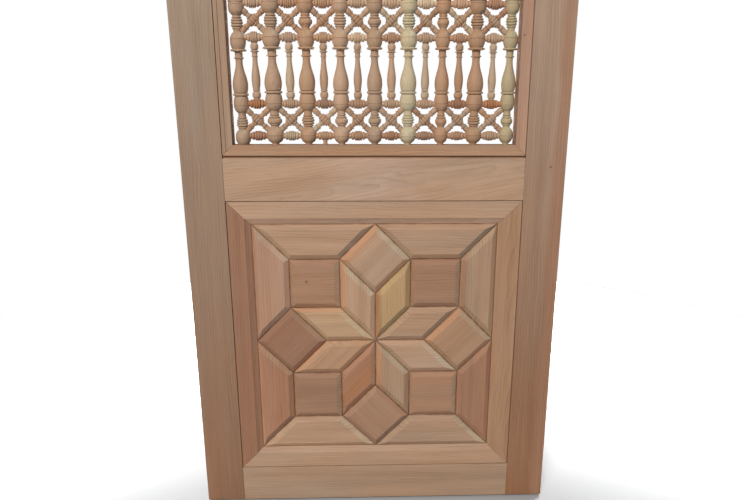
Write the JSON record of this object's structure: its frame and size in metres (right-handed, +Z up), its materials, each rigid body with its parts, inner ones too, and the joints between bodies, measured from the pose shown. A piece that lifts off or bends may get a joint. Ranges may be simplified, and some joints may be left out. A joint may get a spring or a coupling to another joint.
{
  "type": "wooden door",
  "caption": "Panelled wooden door leaf that closes a doorway: bevelled tiles form a star in the lower panel, under an openwork lattice of turned spindles.",
  "frame": {"origin": "mid height and mid thickness of the left stile's outer edge face, where the hinges would go", "axes": "+X across the leaf from the hinge edge to the free edge, +Z up, -Y out of the panelled front face"},
  "size_m": [1, 0.045, 2.0072],
  "materials": {
    "stiles": "planed, unfinished and a little greyed",
    "rails": "planed and unfinished",
    "panel_frame": "planed and unfinished, with a bevelled inner edge",
    "tan_tiles": "planed and unfinished, with bevelled edges",
    "pale_tiles": "planed and unfinished, with bevelled edges",
    "reddish_tiles": "planed and unfinished, with bevelled edges",
    "brown_tiles": "planed and unfinished, with bevelled edges",
    "moulding": "planed and unfinished",
    "turned_lattice": "turned and unfinished"
  },
  "bodies": {
    "root": {"edge_tile_bottom_left": "tan_tiles", "edge_tile_bottom_right": "tan_tiles", "edge_tile_left_lower": "reddish_tiles", "edge_tile_left_upper": "reddish_tiles", "edge_tile_right_lower": "brown_tiles", "edge_tile_right_upper": "tan_tiles", "edge_tile_top_left": "tan_tiles", "edge_tile_top_right": "tan_tiles", "lattice_column_1": "turned_lattice", "lattice_column_2": "turned_lattice", "lattice_column_3": "turned_lattice", "lattice_column_4": "turned_lattice", "lattice_column_5": "turned_lattice", "lattice_column_6": "turned_lattice", "lattice_column_7": "turned_lattice", "lattice_column_8": "turned_lattice", "lattice_column_9": "turned_lattice", "lattice_moulding_bottom": "moulding", "lattice_moulding_left": "moulding", "lattice_moulding_right": "moulding", "lattice_moulding_top": "moulding", "panel_frame_bottom": "panel_frame", "panel_frame_left": "panel_frame", "panel_frame_right": "panel_frame", "panel_frame_top": "panel_frame", "point_tile_bottom_left": "reddish_tiles", "point_tile_bottom_right": "tan_tiles", "point_tile_left_lower": "pale_tiles", "point_tile_left_upper": "tan_tiles", "point_tile_right_lower": "pale_tiles", "point_tile_right_upper": "reddish_tiles", "point_tile_top_left": "tan_tiles", "point_tile_top_right": "pale_tiles", "rail_bottom": "rails", "rail_middle": "rails", "rail_top": "rails", "square_tile_bottom": "brown_tiles", "square_tile_bottom_left": "brown_tiles", "square_tile_bottom_right": "tan_tiles", "square_tile_left": "reddish_tiles", "square_tile_right": "tan_tiles", "square_tile_top": "tan_tiles", "square_tile_top_left": "brown_tiles", "square_tile_top_right": "brown_tiles", "stile_left": "stiles", "stile_right": "stiles"}
  },
  "joints": []
}
